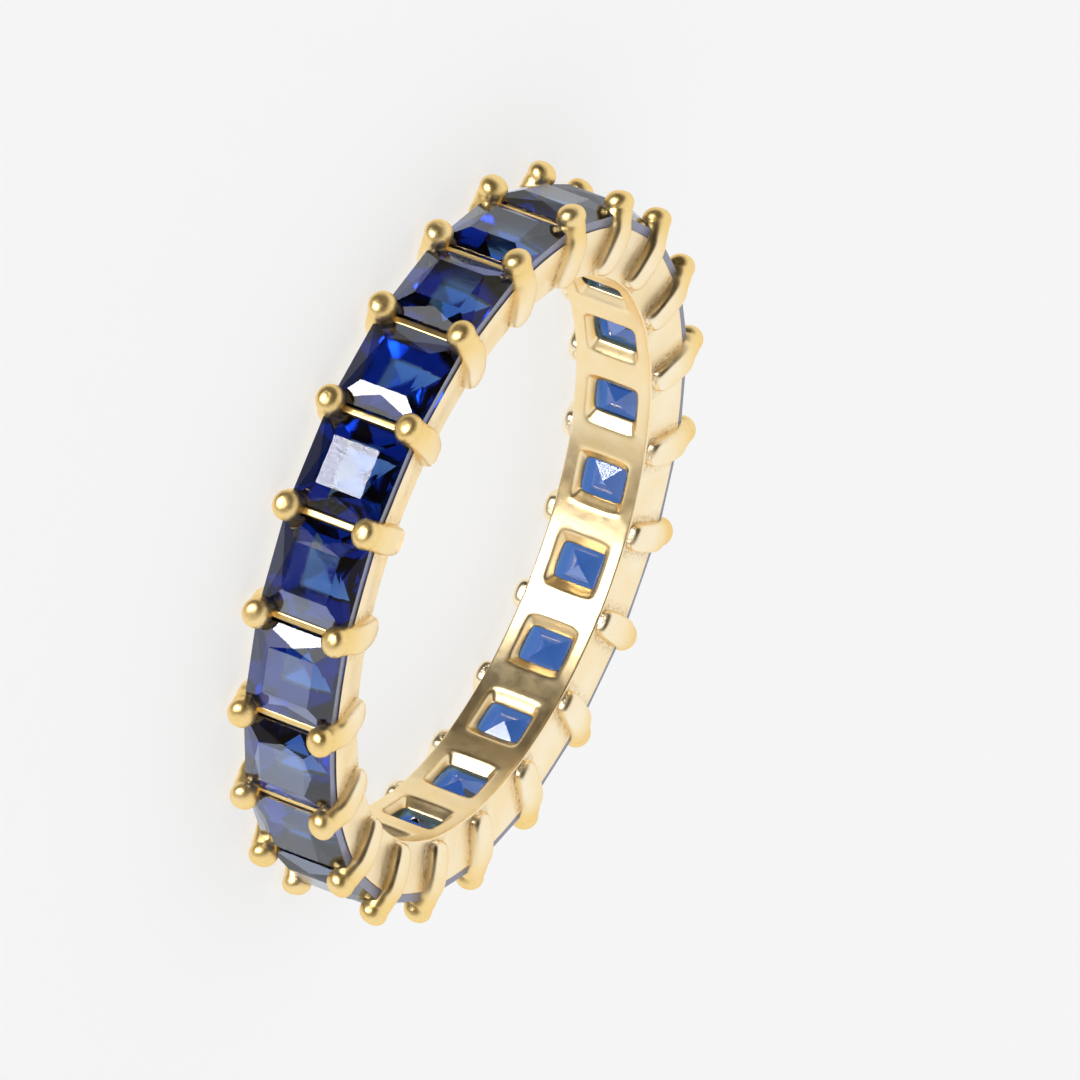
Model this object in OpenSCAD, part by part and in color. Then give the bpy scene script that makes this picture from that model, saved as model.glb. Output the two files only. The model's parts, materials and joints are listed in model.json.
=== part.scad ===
// Eternity ring with square gemstones held in shared prongs, lying on its side.
// The finger hole's axis is +Z, and the origin is on the surface under its middle.
// The first junction between two stones lies on +X.

/* [Ring] */
// Inner diameter of the ring, which sets its finger size
finger_d = 17.2; // [16.9:0.1:17.7]
// Number of stones round the ring
stone_count = 21; // [21:1:21]

/* [Stone] */
// Side of a stone's square outline
stone_w = 2.8; // [2.6:0.05:2.8]
// Share of the stone's width that its flat top takes
table_share = 0.52; // [0.45:0.01:0.6]
// Height of the cut top above the stone's upright edge band
crown_h = 0.33; // [0.3:0.01:0.45]
// Height of the stone's upright edge band
girdle_h = 0.38; // [0.2:0.01:0.4]
// Depth of the stone's pointed underside
pavilion_h = 1.26; // [1.2:0.01:1.3]
// Distance from the stone's point to the finger
culet_gap = 0.17; // [0.08:0.01:0.3]

/* [Band] */
// Half width of the band at the finger
band_half_in = 1.25; // [1.1:0.05:1.3]
// Half width of the band at its rim, just under the stones
band_half_out = 1.44; // [1.4:0.01:1.5]
// Distance from the stone's edge band down to the band's rim
rim_drop = 0.19; // [0.15:0.01:0.3]
// Height of a bar between two stones over the lower side of their edge bands
bar_rise = 0.34; // [0.15:0.01:0.36]
// Size along the ring's axis of the open window behind a stone, at the finger
window_axial = 1.28; // [1.1:0.02:1.5]
// Size round the ring of the open window behind a stone, at the finger
window_round = 1.02; // [0.9:0.01:1.2]

/* [Prongs] */
// Diameter of a rib on the band's side, which grows into a prong
rib_d = 0.90; // [0.8:0.02:0.96]
// Distance from mid-width to the rib's centre line, at its inner end
rib_off_in = 1.20; // [1.1:0.01:1.25]
// Distance from mid-width to the rib's centre line, at its shoulder
rib_off_out = 1.39; // [1.35:0.01:1.45]
// Height of the rib's shoulder over the lower side of the stone's edge band
shoulder_rise = 0.22; // [0.1:0.01:0.4]
// Diameter of the neck between the shoulder and the bead
neck_d = 0.66; // [0.5:0.02:0.7]
// Diameter of the bead that ends a prong
bead_d = 0.84; // [0.7:0.02:0.88]
// Height of the bead's centre over the lower side of the stone's edge band
bead_rise = 0.77; // [0.7:0.01:0.8]
// Distance from mid-width to the bead's centre
bead_off = 1.26; // [1.2:0.01:1.3]

/* [Fit] */
// Clearance between a stone and its gold seat
seat_gap = 0.03; // [0.02:0.01:0.05]

/* [Hidden] */
$fn = 48;
step_angle = 360 / stone_count;
// Distances from the ring's axis
finger_r = finger_d / 2;
seat_r = finger_r + culet_gap + pavilion_h;
rim_r = seat_r - rim_drop;
bar_top_r = seat_r + bar_rise;
shoulder_r = seat_r + shoulder_rise;
bead_r = seat_r + bead_rise;
// A rib's rounded inner end is trimmed by the finger hole
rib_r = rib_d / 2;
rib_trim = 0.03;
rib_in_r = finger_r + rib_r - rib_trim;
// The rounded ends of a rib are a little wider than the rib
end_swell = 0.01;
// Half the ring's width, from its middle to the outside of a shoulder
ring_half_w = rib_off_out + (rib_d + end_swell) / 2;
// A bar's blank is wider than the gap between two stones, and their seats trim it
bar_blank_w = 0.5;
bar_blank_half = 1.3;
// Where a window meets the stone's seat: distance below the edge band, and half width
window_end_drop = 0.43;
window_end_half = 0.92;
// Facet points under the stone's sides: depth as a share of the underside, reach of the half width
keel_depth = 0.27;
keel_reach = 0.80;
// Square where the steep facets end and the flat pyramid of the point begins, in the same shares
point_depth = 0.78;
point_reach = 0.42;
// Star point at the middle of each top edge: height as a share of the crown, reach of the half width
star_height = 0.80;
star_reach = 0.66;
// A cutter runs this far past the face that it opens
overcut = 0.4;

function stone_name(i) = str("stone_", i < 10 ? "0" : "", i);

// The four corners of a level square, going round
function corner_ring(half, z) = [for (q = [0 : 3]) let (a = 90 * q + 45)
    [sqrt(2) * half * cos(a), sqrt(2) * half * sin(a), z]];

// A point out from the middle of each side of such a square, going round
function side_ring(reach, z) = [for (q = [0 : 3]) let (a = 90 * q + 90)
    [reach * cos(a), reach * sin(a), z]];

// The four corners of a level rectangle, going round
function box_ring(half_x, half_y, z) = [for (s = [[1, 1], [-1, 1], [-1, -1], [1, -1]])
    [s[0] * half_x, s[1] * half_y, z]];

// Stands its children at an angle round the ring, their Z pointing away from the finger
module on_ring(angle, r = 0) {
    rotate([0, 0, angle]) translate([r, 0, 0]) rotate([0, 90, 0]) children();
}

// Square stone with its edge band's lower side at z = 0; grow adds a clearance all round
module princess_stone(grow = 0) {
    half = stone_w / 2 + grow;
    band_top = girdle_h + grow;
    deep = pavilion_h + grow;
    points = concat(
        corner_ring(table_share * stone_w / 2 + grow, band_top + crown_h),
        side_ring(star_reach * half, band_top + star_height * crown_h),
        corner_ring(half, band_top),
        corner_ring(half, 0),
        side_ring(keel_reach * half, -keel_depth * deep),
        corner_ring(point_reach * half, -point_depth * deep),
        [[0, 0, -deep]]
    );
    table = 0;
    star = 4;
    upper = 8;
    lower = 12;
    keel = 16;
    point_base = 20;
    culet = 24;
    sides = [for (q = [0 : 3]) let (n = (q + 1) % 4) each [
        [table + q, table + n, star + q],
        [table + q, star + q, upper + q],
        [table + n, upper + n, star + q],
        [star + q, upper + n, upper + q],
        [upper + q, upper + n, lower + n, lower + q],
        [lower + q, lower + n, keel + q],
        [lower + q, keel + q, point_base + q],
        [lower + n, point_base + n, keel + q],
        [keel + q, point_base + n, point_base + q],
        [point_base + q, point_base + n, culet]
    ]];
    polyhedron(points, concat([[3, 2, 1, 0]], sides));
}

// Tapered cutter that opens the band behind a stone, its Z measured from the ring's axis
module window_cutter() {
    start_r = finger_r - overcut;
    end_r = seat_r - window_end_drop;
    taper = overcut / (end_r - finger_r);
    start_x = window_axial / 2 - taper * (window_end_half - window_axial / 2);
    start_y = window_round / 2 - taper * (window_end_half - window_round / 2);
    points = concat(
        box_ring(start_x, start_y, start_r),
        box_ring(window_end_half, window_end_half, end_r)
    );
    polyhedron(points, [[0, 1, 2, 3], [7, 6, 5, 4],
        [4, 5, 1, 0], [5, 6, 2, 1], [6, 7, 3, 2], [7, 4, 0, 3]]);
}

// Seat of one stone: its own shape with a clearance, and the window behind it
module seat_cutter() {
    translate([0, 0, seat_r]) princess_stone(seat_gap);
    window_cutter();
}

// Band round the finger, its sides leaning out towards the stones
module band() {
    rotate_extrude() polygon([
        [finger_r, -band_half_in], [rim_r, -band_half_out],
        [rim_r, band_half_out], [finger_r, band_half_in]
    ]);
}

// Thin bar that stands up between two stones
module bar() {
    bar_h = bar_top_r - rim_r + overcut;
    translate([rim_r - overcut, -bar_blank_w / 2, -bar_blank_half])
        cube([bar_h, bar_blank_w, 2 * bar_blank_half]);
}

// Round rod between two points of the plane through the ring's axis
module rod(from, to, d) {
    run = to - from;
    translate([from[0], 0, from[1]])
        rotate([0, atan2(run[0], run[1]), 0])
            cylinder(d = d, h = norm(run));
}

// Rib up the side of the band, with a shoulder that bends over the stones' corners to a bead
module prong() {
    foot = [rib_in_r, rib_off_in];
    shoulder = [shoulder_r, rib_off_out];
    bead = [bead_r, bead_off];
    rod(foot, shoulder, rib_d);
    rod(shoulder, bead, neck_d);
    translate([foot[0], 0, foot[1]]) sphere(d = rib_d + end_swell);
    translate([shoulder[0], 0, shoulder[1]]) sphere(d = rib_d + end_swell);
    translate([bead[0], 0, bead[1]]) sphere(d = bead_d);
}

// All the gold, one solid
module setting() {
    color("gold") translate([0, 0, ring_half_w]) difference() {
        union() {
            band();
            for (i = [0 : stone_count - 1]) rotate([0, 0, i * step_angle]) {
                bar();
                prong();
                mirror([0, 0, 1]) prong();
            }
        }
        for (i = [0 : stone_count - 1]) on_ring((i + 0.5) * step_angle) seat_cutter();
        cylinder(r = finger_r, h = 4 * ring_half_w, center = true);
    }
}

// Stone number i, counted from +X
module stone(i) {
    color("mediumblue") translate([0, 0, ring_half_w])
        on_ring((i - 0.5) * step_angle, seat_r) princess_stone();
}

setting();
for (i = [1 : stone_count]) stone(i);
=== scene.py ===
"""Eternity ring of polished yellow gold with 21 square blue sapphires, lying on its side."""

import json
import math

import bmesh
import bpy
from mathutils import Matrix, Vector


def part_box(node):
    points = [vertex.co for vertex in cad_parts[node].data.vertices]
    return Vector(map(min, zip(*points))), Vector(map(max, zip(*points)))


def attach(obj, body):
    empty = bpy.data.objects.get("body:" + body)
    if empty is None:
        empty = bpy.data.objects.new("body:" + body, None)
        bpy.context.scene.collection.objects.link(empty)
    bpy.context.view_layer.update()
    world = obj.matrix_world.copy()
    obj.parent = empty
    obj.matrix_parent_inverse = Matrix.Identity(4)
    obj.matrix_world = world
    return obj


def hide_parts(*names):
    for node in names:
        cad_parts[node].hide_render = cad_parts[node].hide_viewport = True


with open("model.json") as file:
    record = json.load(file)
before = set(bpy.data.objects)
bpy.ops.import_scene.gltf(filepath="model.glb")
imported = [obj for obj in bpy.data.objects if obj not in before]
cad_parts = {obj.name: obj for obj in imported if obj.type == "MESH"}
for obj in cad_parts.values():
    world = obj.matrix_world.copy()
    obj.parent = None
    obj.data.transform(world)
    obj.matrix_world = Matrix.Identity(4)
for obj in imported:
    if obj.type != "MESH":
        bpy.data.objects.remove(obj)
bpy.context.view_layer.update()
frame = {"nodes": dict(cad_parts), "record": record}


# Camera
# A long lens looks down at the ring from about 21 degrees above the floor that it lies on,
# rolled so that the ring leans in the picture as it does in the photograph.
MM = 0.001
CAMERA_AZIMUTH = 81.97
CAMERA_ELEVATION = 21.46
CAMERA_ROLL = 110.48
CAMERA_DISTANCE = 467.2 * MM
CAMERA_LENS = 541.0
CAMERA_SENSOR = 36.0
CAMERA_NEAR_LIMIT = 10 * MM
RING_LEFT_OF_AXIS = 2.07 * MM
RING_BELOW_AXIS = 0.15 * MM

setting_low, setting_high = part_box("setting")
MID_PLANE = (setting_low.z + setting_high.z) / 2

camera_turn = (
    Matrix.Rotation(math.radians(CAMERA_AZIMUTH + 90), 4, "Z")
    @ Matrix.Rotation(math.radians(90 - CAMERA_ELEVATION), 4, "X")
    @ Matrix.Rotation(math.radians(CAMERA_ROLL), 4, "Z")
)
ring_middle = Matrix.Translation((0, 0, MID_PLANE))
step_back = Matrix.Translation((RING_LEFT_OF_AXIS, RING_BELOW_AXIS, CAMERA_DISTANCE))
camera_data = bpy.data.cameras.new("camera")
camera_data.lens = CAMERA_LENS
camera_data.sensor_width = CAMERA_SENSOR
camera_data.clip_start = CAMERA_NEAR_LIMIT
camera = bpy.data.objects.new("camera", camera_data)
camera.matrix_world = ring_middle @ camera_turn @ step_back
bpy.context.scene.collection.objects.link(camera)
bpy.context.scene.camera = camera


# Band
# A casting of 18 carat yellow gold that goes round the finger, polished bright and warm. Its
# sides lean out towards the stones, a tapered window opens it behind each stone, and a thin
# bar stands up between two stones.
STONES = sorted(name for name in frame["nodes"] if name.startswith("stone_"))
STEP = math.tau / len(STONES)
FINGER_R_MM = frame["record"]["mounts"][0]["dims"]["r_mm"]

# One stone's length of the band is shaped on +X. Each row is a closed line round the window,
# from the finger over the seat to the rim: half size round the ring (None is the middle of
# the bar), half size along the axis, how far the corner is rounded, height at the bars, and
# height at the side walls. Heights are distances from the ring's axis; None is the surface
# of the finger hole.
BAND_ROWS_MM = (
    (None, 1.25, 0.30, None, None),
    (1.00, 1.04, 0.26, None, None),
    (0.84, 0.86, 0.22, None, None),
    (0.76, 0.78, 0.18, 8.66, 8.66),
    (0.56, 0.69, 0.15, 8.81, 8.81),
    (0.515, 0.66, 0.14, 8.88, 8.88),
    (0.78, 0.86, 0.12, 9.21, 9.21),
    (1.01, 1.02, 0.12, 9.50, 9.50),
    (1.19, 1.19, 0.12, 9.70, 9.69),
    (1.37, 1.27, 0.12, 9.93, 9.79),
    (1.41, 1.33, 0.10, 10.02, 9.90),
    (1.41, 1.405, 0.10, 10.38, 10.03),
    (None, 1.43, 0.10, 10.43, 10.18),
)
# The middle of a rounded corner lies inside the sharp one by this share of the rounding
CORNER_CUT = 0.29
# From this height up, a row's sides along the walls curve round the ring's axis
CURVED_FROM_MM = 9.75
# The vertices of a row that lie along each side wall, from corner to corner
UPPER_WALL = slice(2, 7)
LOWER_WALL = slice(10, 15)
# The side wall's lines between the rim and the finger: half width and height
WALL_ROWS_MM = (
    (1.465, 10.15), (1.46, 9.95), (1.44, 9.70), (1.34, 9.22), (1.27, 8.76), (1.262, 8.66),
)
# Places of such a line's vertices, as shares of the way from the stone's middle to a rib
WALL_SHARES = (1, 0.68, 0, -0.68, -1)
# How much of the casting's grain is left: on the bars, and along a wall from rib to rib
BAR_GRAIN = 0.7
WALL_GRAIN = (0.95, 0.78, 0.0, 0.78, 0.95)
# The gold's colour is painted deeper where it faces more gold, as a painted reflection of gold in
# gold: a little on the finger's side, and more from this row on, in the windows and on the bars
FINGER_PAINTED_REFLECTION_SHARE = 0.35
PAINTED_REFLECTION_SHARE = 0.8
PAINTED_REFLECTION_FROM_ROW = 5
# Two lengths of the band are joined where their vertices are this close
WELD_MM = 0.002


def first_line(bm, places):
    """A closed line of vertices at those places."""
    circle = bmesh.ops.create_circle(bm, cap_ends=False, radius=MM, segments=len(places))
    line = list(circle["verts"])
    for vertex, place in zip(line, places):
        vertex.co = place
    return line


def extrude_line(bm, line, places, closed):
    """Extrudes a line of vertices and moves the new one to its places; gives the new line."""
    pairs = list(zip(line, line[1:] + line[:1] if closed else line[1:]))
    edges = [next(e for e in a.link_edges if e.other_vert(a) == b) for a, b in pairs]
    made = bmesh.ops.extrude_edge_only(bm, edges=edges)["geom"]
    fresh = {v for v in made if isinstance(v, bmesh.types.BMVert)}
    line = [next(e.other_vert(v) for e in v.link_edges if e.other_vert(v) in fresh) for v in line]
    for vertex, place in zip(line, places):
        vertex.co = place
    return line


def set_shares(line, layer, shares):
    """Notes a share, such as of the casting's grain, at each vertex of a line."""
    for vertex, share in zip(line, shares):
        vertex[layer] = share


def window_line(half_round, half_axial, corner, bar_height, wall_height):
    """The 16 places of one row, going round the window from the middle of a bar."""
    at_finger = bar_height is None
    if at_finger:
        bar_height = wall_height = FINGER_R_MM
    to_bar_middle = half_round is None
    reach = bar_height * math.sin(STEP / 2) if to_bar_middle else half_round
    cut = 0.0 if to_bar_middle else CORNER_CUT * corner
    # A quarter of the row, each vertex with its height and whether it lies along the wall
    quarter = (
        (reach, 0.0, bar_height, False),
        (reach, half_axial - corner, bar_height, False),
        (reach - cut, half_axial - cut, (bar_height + wall_height) / 2, False),
        (reach - corner, half_axial, wall_height, True),
        (0.0, half_axial, wall_height, True),
    )
    places = []
    for y, z, height, on_wall in quarter:
        x = height
        if to_bar_middle and not at_finger:
            angle = STEP / 2 * y / reach
            x = height * math.cos(angle)
            y = height * math.sin(angle)
        elif at_finger or (on_wall and height > CURVED_FROM_MM):
            x = math.sqrt(height * height - y * y)
        places.append((x, y, z))
    second = [(x, -y, z) for x, y, z in reversed(places)][1:]
    third = [(x, -y, -z) for x, y, z in places][1:]
    fourth = [(x, y, -z) for x, y, z in reversed(places)][1:-1]
    return [Vector(place) * MM for place in places + second + third + fourth]


def wall_line(half_width, height, side):
    """The 5 places of one line of a side wall, from one junction to the next."""
    angles = [share * STEP / 2 for share in WALL_SHARES]
    return [
        Vector((height * math.cos(angle), height * math.sin(angle), side * half_width)) * MM
        for angle in angles
    ]


def repeat_round(bm):
    """Repeats one stone's length of mesh round the ring."""
    steps = len(STONES) - 1
    bmesh.ops.spin(
        bm, geom=bm.verts[:] + bm.edges[:] + bm.faces[:], cent=(0, 0, 0), axis=(0, 0, 1),
        angle=STEP * steps, steps=steps, use_duplicate=True, use_merge=False,
    )


def band_mesh():
    """The rows over the seat and the lines down both side walls, closed at the finger."""
    bm = bmesh.new()
    grain = bm.verts.layers.float.new("cast_grain")
    # This layer notes painted reflection: a deeper gold colour where the gold faces more gold
    painted_reflection = bm.verts.layers.float.new("painted_reflection_tone")
    inner = first_line(bm, window_line(*BAND_ROWS_MM[0]))
    set_shares(inner, painted_reflection, [FINGER_PAINTED_REFLECTION_SHARE] * len(inner))
    rim = inner
    for number, row in enumerate(BAND_ROWS_MM[1:], start=1):
        rim = extrude_line(bm, rim, window_line(*row), closed=True)
        # Painted reflection: deeper gold in the windows and on the bars, less on the finger's
        # side
        tone = PAINTED_REFLECTION_SHARE if number >= PAINTED_REFLECTION_FROM_ROW else FINGER_PAINTED_REFLECTION_SHARE
        set_shares(rim, painted_reflection, [tone] * len(rim))
    set_shares(rim, grain, [BAR_GRAIN] * len(rim))
    for side, wall in ((1, UPPER_WALL), (-1, LOWER_WALL)):
        edge = rim[wall]
        for half_width, height in WALL_ROWS_MM:
            places = wall_line(half_width, height, side)[::side]
            edge = extrude_line(bm, edge, places, closed=False)
            set_shares(edge, grain, WALL_GRAIN)
            set_shares(edge, painted_reflection, [0.0] * len(edge))
        goal = inner[wall]
        for corners in zip(edge, edge[1:], goal[1:], goal):
            bm.faces.new(corners)
    # The first junction between two stones lies on +X, so the shaped length moves on by half
    half_step = Matrix.Rotation(STEP / 2, 3, "Z")
    bmesh.ops.rotate(bm, verts=bm.verts, cent=(0, 0, 0), matrix=half_step)
    repeat_round(bm)
    bmesh.ops.remove_doubles(bm, verts=bm.verts, dist=WELD_MM * MM)
    bmesh.ops.recalc_face_normals(bm, faces=bm.faces)
    bmesh.ops.translate(bm, verts=bm.verts, vec=(0, 0, MID_PLANE))
    return bm


# Polished gold has soft patches of deeper tone and of haze, a ripple and the strokes of the
# polishing wheel, and at the roots of the prongs the pits of the casting that the wheel
# doesn't reach.
GOLD_COLOUR = (0.96, 0.83, 0.60, 1.0)
GOLD_DEEP_AND_REFLECTED_COLOUR = (0.93, 0.67, 0.27, 1.0)
GOLD_PIT_COLOUR = (0.50, 0.29, 0.08, 1.0)
GOLD_EDGE_COLOUR = (0.95, 0.84, 0.64, 1.0)
# Each noise: features to a millimetre, detail and roughness
TONE_NOISE = (0.9, 4.0, 0.5)
PIT_NOISE = (9.0, 3.0, 0.6)
HAZE_NOISE = (2.6, 5.0, 0.5)
RIPPLE_NOISE = (1.8, 2.0, 0.5)
STROKE_NOISE = (16.0, 3.0, 0.6)
# The part of a noise's range that counts
TONE_RANGE = (0.35, 0.7)
PIT_RANGE = (0.40, 0.54)
HAZE_RANGE = (0.3, 0.7)
# Each bump: strength and height in mm; the pits are as strong as the grain that is left
RIPPLE_BUMP = (0.3, 0.03)
STROKE_BUMP = (0.12, 0.02)
PIT_HEIGHT_MM = 0.09
# Up to the first of these shares of grain no pits show, and from the second on they all do
CAST_RANGE = (0.5, 0.95)
# How far the tone drifts towards the deeper colour, and how much of its own colour a pit has
TONE_DRIFT = 0.35
PIT_SHARE = 0.7
# Roughness of the polish from clear to hazy, and what gold with painted reflection and cast gold
# add to it
POLISH_ROUGHNESS = (0.26, 0.36)
PAINTED_REFLECTION_ROUGHNESS = 0.05
CAST_ROUGHNESS = 0.15
SMOOTH_LEVELS = 2


def add_node(tree, kind, **values):
    """A node of that kind, with its properties or input values set by name."""
    node = tree.nodes.new(kind)
    for name, value in values.items():
        if hasattr(node, name):
            setattr(node, name, value)
        else:
            node.inputs[name.replace("_", " ")].default_value = value
    return node


def new_material(name):
    """A material with a Principled shader, its node tree, and object coordinates in mm."""
    material = bpy.data.materials.new(name)
    material.use_nodes = True
    tree = material.node_tree
    shader = tree.nodes["Principled BSDF"]
    place = add_node(tree, "ShaderNodeTexCoord")
    in_mm = add_node(tree, "ShaderNodeMapping", Scale=(1 / MM, 1 / MM, 1 / MM))
    tree.links.new(place.outputs["Object"], in_mm.inputs["Vector"])
    return material, tree, shader, in_mm.outputs["Vector"]


def mix_colours(tree, share, first, second):
    """Output that goes from the first colour to the second as the share goes from 0 to 1."""
    mix = add_node(tree, "ShaderNodeMix", data_type="RGBA")
    ends = [socket for socket in mix.inputs if socket.type == "RGBA"]
    for socket, colour in zip(ends, (first, second)):
        if isinstance(colour, tuple):
            socket.default_value = colour
        else:
            tree.links.new(colour, socket)
    tree.links.new(share, mix.inputs["Factor"])
    return next(socket for socket in mix.outputs if socket.type == "RGBA")


def spread(tree, value, source, target=(0.0, 1.0)):
    """Output of a value that is stretched from one range to another."""
    node = add_node(
        tree, "ShaderNodeMapRange",
        From_Min=source[0], From_Max=source[1], To_Min=target[0], To_Max=target[1],
    )
    tree.links.new(value, node.inputs["Value"])
    return node.outputs["Result"]


def noise(tree, place, scale, detail, roughness):
    """Output of a noise with that many features to a millimetre."""
    node = add_node(tree, "ShaderNodeTexNoise", Scale=scale, Detail=detail, Roughness=roughness)
    tree.links.new(place, node.inputs["Vector"])
    return node.outputs["Fac"]


def arithmetic(tree, operation, *operands):
    """Output of a Math node; each operand is a number or an output."""
    node = add_node(tree, "ShaderNodeMath", operation=operation)
    for socket, operand in zip(node.inputs, operands):
        if isinstance(operand, (int, float)):
            socket.default_value = operand
        else:
            tree.links.new(operand, socket)
    return node.outputs["Value"]


def bump(tree, height, strength, height_mm, below=None):
    """Normal output of a bump, on top of another one where there is one."""
    node = add_node(tree, "ShaderNodeBump", Distance=height_mm * MM)
    tree.links.new(height, node.inputs["Height"])
    if isinstance(strength, (int, float)):
        node.inputs["Strength"].default_value = strength
    else:
        tree.links.new(strength, node.inputs["Strength"])
    if below is not None:
        tree.links.new(below, node.inputs["Normal"])
    return node.outputs["Normal"]


def gold_material():
    """Gold whose pits and painted reflection, a deeper colour, follow the shares that a mesh
    notes at its vertices.
    """
    material, tree, shader, place = new_material("polished_gold")
    link = tree.links.new
    grain = add_node(tree, "ShaderNodeAttribute", attribute_name="cast_grain").outputs["Fac"]
    painted_reflection = add_node(tree, "ShaderNodeAttribute", attribute_name="painted_reflection_tone").outputs["Fac"]
    cast = spread(tree, grain, CAST_RANGE)
    shader.inputs["Metallic"].default_value = 1.0
    shader.inputs["Specular Tint"].default_value = GOLD_EDGE_COLOUR

    tone = spread(tree, noise(tree, place, *TONE_NOISE), TONE_RANGE, (0.0, TONE_DRIFT))
    # The deeper colour comes partly from random tone and partly from painted reflection of gold
    # in gold
    tone_and_reflection_share = arithmetic(tree, "ADD", painted_reflection, tone)
    polished = mix_colours(tree, tone_and_reflection_share, GOLD_COLOUR, GOLD_DEEP_AND_REFLECTED_COLOUR)
    pits = noise(tree, place, *PIT_NOISE)
    in_pits = arithmetic(tree, "MULTIPLY", cast, spread(tree, pits, PIT_RANGE, (PIT_SHARE, 0.0)))
    link(mix_colours(tree, in_pits, polished, GOLD_PIT_COLOUR), shader.inputs["Base Color"])

    haze = spread(tree, noise(tree, place, *HAZE_NOISE), HAZE_RANGE, POLISH_ROUGHNESS)
    on_painted_reflection = arithmetic(tree, "MULTIPLY_ADD", painted_reflection, PAINTED_REFLECTION_ROUGHNESS, haze)
    roughness = arithmetic(tree, "MULTIPLY_ADD", cast, CAST_ROUGHNESS, on_painted_reflection)
    link(roughness, shader.inputs["Roughness"])

    ripple = bump(tree, noise(tree, place, *RIPPLE_NOISE), *RIPPLE_BUMP)
    strokes = bump(tree, noise(tree, place, *STROKE_NOISE), *STROKE_BUMP, ripple)
    link(bump(tree, pits, cast, PIT_HEIGHT_MM, strokes), shader.inputs["Normal"])
    return material


def new_piece(name, bm, material):
    """A smooth mesh object at the origin, finished by a subdivision surface."""
    mesh = bpy.data.meshes.new(name)
    bm.to_mesh(mesh)
    bm.free()
    mesh.polygons.foreach_set("use_smooth", [True] * len(mesh.polygons))
    mesh.materials.append(material)
    piece = bpy.data.objects.new(name, mesh)
    bpy.context.scene.collection.objects.link(piece)
    smoother = piece.modifiers.new("smooth", "SUBSURF")
    smoother.levels = SMOOTH_LEVELS
    smoother.render_levels = SMOOTH_LEVELS
    return piece


gold = gold_material()
band = new_piece("gold_band", band_mesh(), gold)
gold_pieces = [band]
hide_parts("setting")
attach(band, "root")


# Prongs
# They are cast in one with the band, two at each place where stones meet, one on each side
# of the ring. Each is a stout rib up the side wall, out of which a post leans in over the
# corners of two stones and ends in a low polished dome.
PRONG_SIDES = 12

# Each row is one section, from the foot at the finger to the top of the dome: distance from
# the axis, distance from mid-width, width round the ring, thickness, lean in degrees and
# how square the section is, from 2 for an ellipse.
PRONG_ROWS_MM = (
    (8.66, 1.24, 0.30, 0.30, 0, 2.0),
    (8.70, 1.25, 0.62, 0.52, 5, 2.4),
    (8.82, 1.27, 0.84, 0.72, 8, 3.0),
    (9.10, 1.30, 0.91, 0.82, 8, 4.0),
    (9.50, 1.34, 0.95, 0.88, 8, 4.2),
    (9.85, 1.375, 0.97, 0.91, 6, 4.0),
    (10.08, 1.393, 0.955, 0.90, 3, 3.6),
    (10.22, 1.383, 0.925, 0.86, -1, 3.2),
    (10.30, 1.368, 0.90, 0.82, -6, 2.8),
    (10.38, 1.352, 0.91, 0.83, -9, 2.5),
    (10.50, 1.334, 0.92, 0.84, -12, 2.3),
    (10.60, 1.320, 0.915, 0.83, -14, 2.1),
    (10.665, 1.314, 0.89, 0.80, -15, 2.0),
    (10.73, 1.287, 0.93, 0.86, -15, 2.0),
    (10.83, 1.268, 0.965, 0.90, -14, 2.0),
    (10.93, 1.254, 0.93, 0.87, -14, 2.0),
    (11.02, 1.242, 0.84, 0.78, -13, 2.0),
    (11.10, 1.232, 0.68, 0.635, -13, 2.0),
    (11.155, 1.225, 0.48, 0.45, -12, 2.0),
    (11.185, 1.221, 0.24, 0.22, -12, 2.0),
)
# The casting's grain stays along the crevices between the rib and the wall, up to this
# height over the finger, and a trace of it on the dome, from this height up
CREVICE_GRAIN = 0.85
CREVICE_TOP_MM = 1.45
DOME_GRAIN = 0.56
DOME_START_MM = 2.0
# Painted reflection: the gold's colour deepens between these heights over the finger, on the way
# to the dome
PAINTED_REFLECTION_START_MM = 0.9
PAINTED_REFLECTION_END_MM = 1.95


def squared(wave, squareness):
    """A sine or cosine that makes a circle squarer: 2 leaves it round."""
    return math.copysign(abs(wave) ** (2 / squareness), wave)


def prong_section(height, off_middle, width, thickness, lean, squareness):
    """The places of one section of the prong on +X, on the +Z side of the band."""
    tilt = math.radians(lean)
    places = []
    for i in range(PRONG_SIDES):
        turn = math.tau * i / PRONG_SIDES
        across = squared(math.cos(turn), squareness) * width / 2
        out = squared(math.sin(turn), squareness) * thickness / 2
        x = height - out * math.sin(tilt)
        z = off_middle + out * math.cos(tilt)
        places.append(Vector((x, across, z)) * MM)
    return places


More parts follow.
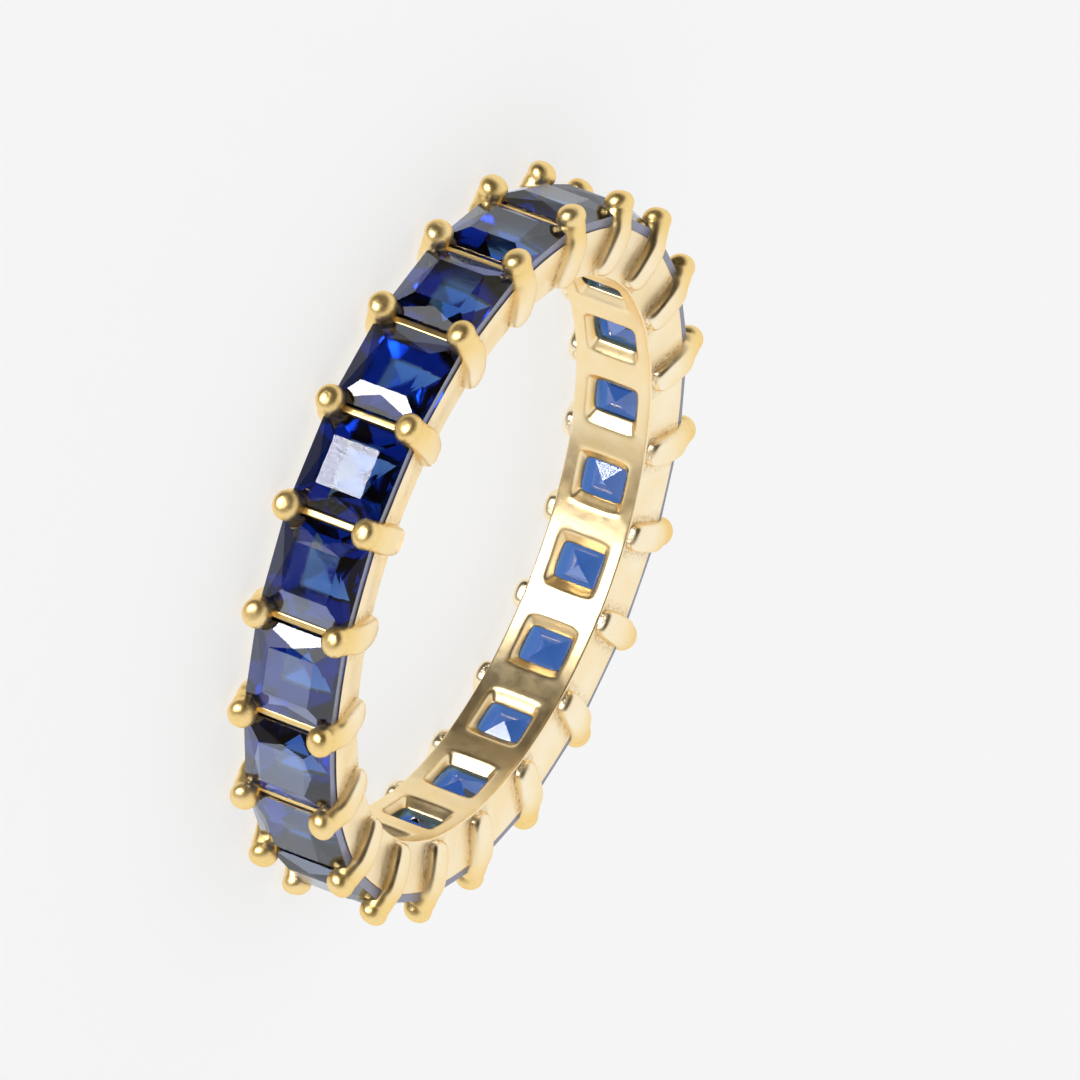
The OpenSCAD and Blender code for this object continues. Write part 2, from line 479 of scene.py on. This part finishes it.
def prong_mesh(side):
    """The prongs of one side of the ring: the first on +X, and its copies round the ring."""
    bm = bmesh.new()
    grain = bm.verts.layers.float.new("cast_grain")
    painted_reflection = bm.verts.layers.float.new("painted_reflection_tone")
    foot = first_line(bm, prong_section(*PRONG_ROWS_MM[0]))
    facing_wall = set(foot)
    top = foot
    for row in PRONG_ROWS_MM[1:]:
        top = extrude_line(bm, top, prong_section(*row), closed=True)
        facing_wall.update(top[PRONG_SIDES // 2:] + top[:1])
    for end in (foot, top):
        cap = bm.faces.new(end)
        bmesh.ops.poke(bm, faces=[cap])
    for vertex in bm.verts:
        height_mm = math.hypot(vertex.co.x, vertex.co.y) / MM - FINGER_R_MM
        if height_mm > DOME_START_MM:
            vertex[grain] = DOME_GRAIN
        elif vertex in facing_wall and height_mm < CREVICE_TOP_MM:
            vertex[grain] = CREVICE_GRAIN
        # Painted reflection: a deeper gold colour that grows on the way to the dome
        climb = (height_mm - PAINTED_REFLECTION_START_MM) / (PAINTED_REFLECTION_END_MM - PAINTED_REFLECTION_START_MM)
        vertex[painted_reflection] = PAINTED_REFLECTION_SHARE * min(max(climb, 0.0), 1.0)
    bmesh.ops.scale(bm, verts=bm.verts, vec=(1, 1, side))
    repeat_round(bm)
    bmesh.ops.recalc_face_normals(bm, faces=bm.faces)
    bmesh.ops.translate(bm, verts=bm.verts, vec=(0, 0, MID_PLANE))
    return bm


for side_name, side in (("upper", 1), ("lower", -1)):
    prongs = new_piece(f"{side_name}_prongs", prong_mesh(side), gold)
    gold_pieces.append(prongs)
    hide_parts("setting")
    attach(prongs, "root")


# Stones
# 21 square princess-cut sapphires, each held at its corners by four prongs. Their facets are
# the part's own; here they get the blue of the stone, which deepens with the light's way
# through it, and their fine wear.
SAPPHIRE_IOR = 1.77
SAPPHIRE_TINT = (0.01, 0.36, 0.76, 1.0)
SAPPHIRE_DENSITY = 1450.0
CLEAR = (1.0, 1.0, 1.0, 1.0)
# Distance from the ring's axis to the plane of a stone's flat top. No other facet's plane
# lies as far out as this range, which ends just short of the flat top's.
TABLE_R_MM = 10.74
TABLE_RANGE = (TABLE_R_MM - 0.06, TABLE_R_MM - 0.03)
# The wear is a fine grain on all facets, and scratches that run slantwise over the flat
# tops. Each noise: features to a millimetre, detail and roughness.
GRAIN_NOISE = (14.0, 4.0, 0.7)
GRAIN_RANGE = (0.3, 0.7)
SCRATCH_NOISE = (9.0, 3.0, 0.7)
SCRATCH_STRETCH = (1.0, 1.0, 0.12)
SCRATCH_TURN = (0.0, 40.0, 0.0)
SCRATCH_SHARE = 0.6
WEAR_HEIGHT_MM = 0.02
# Strength of the wear and roughness of the polish, and what the flat tops have more
FACET_WEAR = 0.04
TABLE_WEAR = 0.22
FACET_ROUGHNESS = (0.0, 0.02)
TABLE_ROUGHNESS = 0.05
# The upright edge band is ground, not polished, and scatters part of the light. The facets
# that point along the ring's axis this closely are its two sides that show.
GROUND_EDGE_COLOUR = (0.40, 0.40, 0.52, 1.0)
GROUND_EDGE_SHARE = 0.45
GROUND_EDGE_ROUGHNESS = 0.45
GROUND_EDGE_RANGE = (0.985, 0.995)


def vector_maths(tree, operation, first, second=None):
    """Output of a Vector Math node; the second operand is a constant or an output."""
    node = add_node(tree, "ShaderNodeVectorMath", operation=operation)
    tree.links.new(first, node.inputs[0])
    if isinstance(second, bpy.types.NodeSocket):
        tree.links.new(second, node.inputs[1])
    elif second is not None:
        node.inputs[1].default_value = second
    return node.outputs["Value" if operation == "DOT_PRODUCT" else "Vector"]


def sapphire_material():
    """Clear blue stone, more worn on its flat top and ground on its edge band."""
    material, tree, shader, place = new_material("blue_sapphire")
    link = tree.links.new
    shader.inputs["Base Color"].default_value = CLEAR
    shader.inputs["Transmission Weight"].default_value = 1.0
    shader.inputs["IOR"].default_value = SAPPHIRE_IOR

    facing = add_node(tree, "ShaderNodeNewGeometry").outputs["True Normal"]
    from_axis = vector_maths(tree, "MULTIPLY", place, (1, 1, 0))
    plane_distance = vector_maths(tree, "DOT_PRODUCT", from_axis, facing)
    on_table = spread(tree, plane_distance, TABLE_RANGE)
    parts = add_node(tree, "ShaderNodeSeparateXYZ")
    link(facing, parts.inputs["Vector"])
    along_axis = arithmetic(tree, "ABSOLUTE", parts.outputs["Z"])
    on_edge = spread(tree, along_axis, GROUND_EDGE_RANGE)

    slant = add_node(tree, "ShaderNodeMapping", Scale=SCRATCH_STRETCH)
    slant.inputs["Rotation"].default_value = [math.radians(angle) for angle in SCRATCH_TURN]
    link(place, slant.inputs["Vector"])
    scratches = noise(tree, slant.outputs["Vector"], *SCRATCH_NOISE)
    grain = noise(tree, place, *GRAIN_NOISE)
    worn = arithmetic(tree, "MULTIPLY_ADD", scratches, SCRATCH_SHARE, grain)
    polish = spread(tree, grain, GRAIN_RANGE, FACET_ROUGHNESS)
    roughness = arithmetic(tree, "MULTIPLY_ADD", on_table, TABLE_ROUGHNESS, polish)
    link(roughness, shader.inputs["Roughness"])
    wear = arithmetic(tree, "MULTIPLY_ADD", on_table, TABLE_WEAR, FACET_WEAR)
    link(bump(tree, worn, wear, WEAR_HEIGHT_MM), shader.inputs["Normal"])

    inside = add_node(
        tree, "ShaderNodeVolumeAbsorption", Color=SAPPHIRE_TINT, Density=SAPPHIRE_DENSITY
    )
    ground = add_node(
        tree, "ShaderNodeBsdfPrincipled",
        Base_Color=GROUND_EDGE_COLOUR, Roughness=GROUND_EDGE_ROUGHNESS,
    )
    blend = add_node(tree, "ShaderNodeMixShader")
    link(arithmetic(tree, "MULTIPLY", on_edge, GROUND_EDGE_SHARE), blend.inputs[0])
    link(shader.outputs["BSDF"], blend.inputs[1])
    link(ground.outputs["BSDF"], blend.inputs[2])
    end = tree.nodes["Material Output"]
    link(blend.outputs["Shader"], end.inputs["Surface"])
    link(inside.outputs["Volume"], end.inputs["Volume"])
    return material


sapphire = sapphire_material()
stone_pieces = [frame["nodes"][name] for name in STONES]
for stone in stone_pieces:
    stone.data.materials.clear()
    stone.data.materials.append(sapphire)


# Floor
# A pale matt table that the ring lies on. It glows, as if lit from below. The ring doesn't
# mirror it, and it lets through the light of the lamps that stand lower than it does.
FLOOR_HALF = 3.0
FLOOR_COLOUR = (0.25, 0.25, 0.25, 1.0)
FLOOR_GLOW = 0.69
FLOOR_GLOW_COLOUR = (1.0, 0.996, 0.982, 1.0)
FLOOR_SPECULAR = 0.2
FLOOR_NOISE = (0.8, 4.0, 0.5)
FLOOR_ROUGHNESS = (0.7, 0.8)


def floor_material():
    """Matt grey that glows nearly white, with a faint unevenness in its sheen."""
    material, tree, shader, place = new_material("pale_table")
    sheen = spread(tree, noise(tree, place, *FLOOR_NOISE), (0.0, 1.0), FLOOR_ROUGHNESS)
    tree.links.new(sheen, shader.inputs["Roughness"])
    shader.inputs["Base Color"].default_value = FLOOR_COLOUR
    shader.inputs["Specular IOR Level"].default_value = FLOOR_SPECULAR
    shader.inputs["Emission Color"].default_value = FLOOR_GLOW_COLOUR
    shader.inputs["Emission Strength"].default_value = FLOOR_GLOW
    return material


floor_bm = bmesh.new()
bmesh.ops.create_grid(floor_bm, x_segments=1, y_segments=1, size=FLOOR_HALF)
floor_mesh = bpy.data.meshes.new("table")
floor_bm.to_mesh(floor_mesh)
floor_bm.free()
floor_mesh.materials.append(floor_material())
floor = bpy.data.objects.new("table", floor_mesh)
bpy.context.scene.collection.objects.link(floor)
floor.visible_glossy = False
floor.visible_shadow = False


# Room
# A white studio that is dark behind the camera, for the gold and the stones to mirror. The
# dark is an ellipse in the sky, taller than it is wide, with a warm soft edge.
DARK_AZIMUTH = 62.0
DARK_ELEVATION = -12.0
# How far from its middle the dark is at its darkest, and how far from it the white begins,
# in degrees
DARK_REACH = 48.0
DARK_EDGE = 80.0
# The dark is narrower than it is tall by this factor
DARK_SQUEEZE = 1.25
# Each colour has its place on the way from the white walls to the dark
ROOM_COLOURS = (
    (0.0, (1.0, 1.03, 1.08, 1.0)),
    (0.3, (0.42, 0.38, 0.31, 1.0)),
    (0.6, (0.10, 0.082, 0.058, 1.0)),
    (1.0, (0.022, 0.017, 0.012, 1.0)),
)


def direction(azimuth, elevation):
    """Unit vector towards an azimuth and elevation in degrees."""
    flat = math.cos(math.radians(elevation))
    return Vector((
        flat * math.cos(math.radians(azimuth)),
        flat * math.sin(math.radians(azimuth)),
        math.sin(math.radians(elevation)),
    ))


world = bpy.data.worlds.new("studio")
world.use_nodes = True
bpy.context.scene.world = world
sky = world.node_tree
sky_place = add_node(sky, "ShaderNodeTexCoord").outputs["Generated"]
# The sky is turned until the dark's middle is over +X, and then squeezed to its sides
sky_turn = add_node(
    sky, "ShaderNodeVectorRotate", rotation_type="Z_AXIS", Angle=-math.radians(DARK_AZIMUTH)
)
sky.links.new(sky_place, sky_turn.inputs["Vector"])
squeezed = vector_maths(sky, "MULTIPLY", sky_turn.outputs["Vector"], (1.0, DARK_SQUEEZE, 1.0))
sky_ray = vector_maths(sky, "NORMALIZE", squeezed)
nearness = vector_maths(sky, "DOT_PRODUCT", sky_ray, direction(0.0, DARK_ELEVATION))
dark_range = (math.cos(math.radians(DARK_EDGE)), math.cos(math.radians(DARK_REACH)))
room = add_node(sky, "ShaderNodeValToRGB")
for place, _ in ROOM_COLOURS[1:-1]:
    room.color_ramp.elements.new(place)
for stop, (place, colour) in zip(room.color_ramp.elements, ROOM_COLOURS):
    stop.position = place
    stop.color = colour
sky.links.new(spread(sky, nearness, dark_range), room.inputs["Fac"])
sky.links.new(room.outputs["Color"], sky.nodes["Background"].inputs["Color"])


# Lamps
# Soft square lamps that stand in the dark and shine on the ring. Some light only the gold or
# only the stones, as a jeweller's photographer would do with small cards.
WHITE = (1.0, 1.0, 1.0)
PALE_BLUE = (0.65, 0.75, 1.0)
GLINT_DISTANCE = 0.50
GLINT_SIDE = 0.06
GLINT_BRIGHTNESS = 28.0
GLINT_DIRECTIONS = ((40.0, 5.0), (122.0, -8.0), (58.0, -48.0), (30.0, 40.0), (95.0, -62.0))
# The key lamp shines back from the flat top of the stone that faces the camera, out of its
# dimmer halo. The gold card makes the broad highlights on the domes, the sheen card the pale
# tops of the stones beyond, and the glint lamps the sparks inside the stones. Each lamp:
# name, azimuth, elevation, distance, side of its square, brightness, colour, and the pieces
# that it lights, or None for all.
LAMPS = [
    ("key_lamp", 80.3, -21.5, 0.50, 0.13, 13.5, WHITE, None),
    ("halo_lamp", 80.3, -21.5, 0.55, 0.40, 1.8, WHITE, None),
    ("gold_card", 80.3, -21.5, 0.60, 0.36, 4.0, WHITE, gold_pieces),
    ("sheen_card", 162.0, -21.5, 0.50, 0.55, 1.9, PALE_BLUE, stone_pieces),
]
for number, (azimuth, elevation) in enumerate(GLINT_DIRECTIONS, start=1):
    LAMPS.append((
        f"glint_lamp_{number}", azimuth, elevation, GLINT_DISTANCE, GLINT_SIDE,
        GLINT_BRIGHTNESS, WHITE, stone_pieces,
    ))


def soft_lamp(name, aim, distance, side, brightness, colour):
    """A square lamp in that direction whose face is as bright as given, at any size."""
    data = bpy.data.lights.new(name, "AREA")
    data.shape = "SQUARE"
    data.size = side
    data.color = colour
    data.energy = brightness * math.pi * side * side
    lamp = bpy.data.objects.new(name, data)
    facing_ring = aim.to_track_quat("Z", "Y").to_matrix().to_4x4()
    lamp.matrix_world = Matrix.Translation(aim * distance) @ facing_ring
    bpy.context.scene.collection.objects.link(lamp)
    lamp.visible_camera = False
    return lamp


for name, azimuth, elevation, distance, side, brightness, colour, pieces in LAMPS:
    lamp = soft_lamp(name, direction(azimuth, elevation), distance, side, brightness, colour)
    if pieces is not None:
        lit = bpy.data.collections.new(f"lit_by_{name}")
        for piece in pieces:
            lit.objects.link(piece)
        lamp.light_linking.receiver_collection = lit
bpy.context.scene.view_settings.view_transform = "Standard"
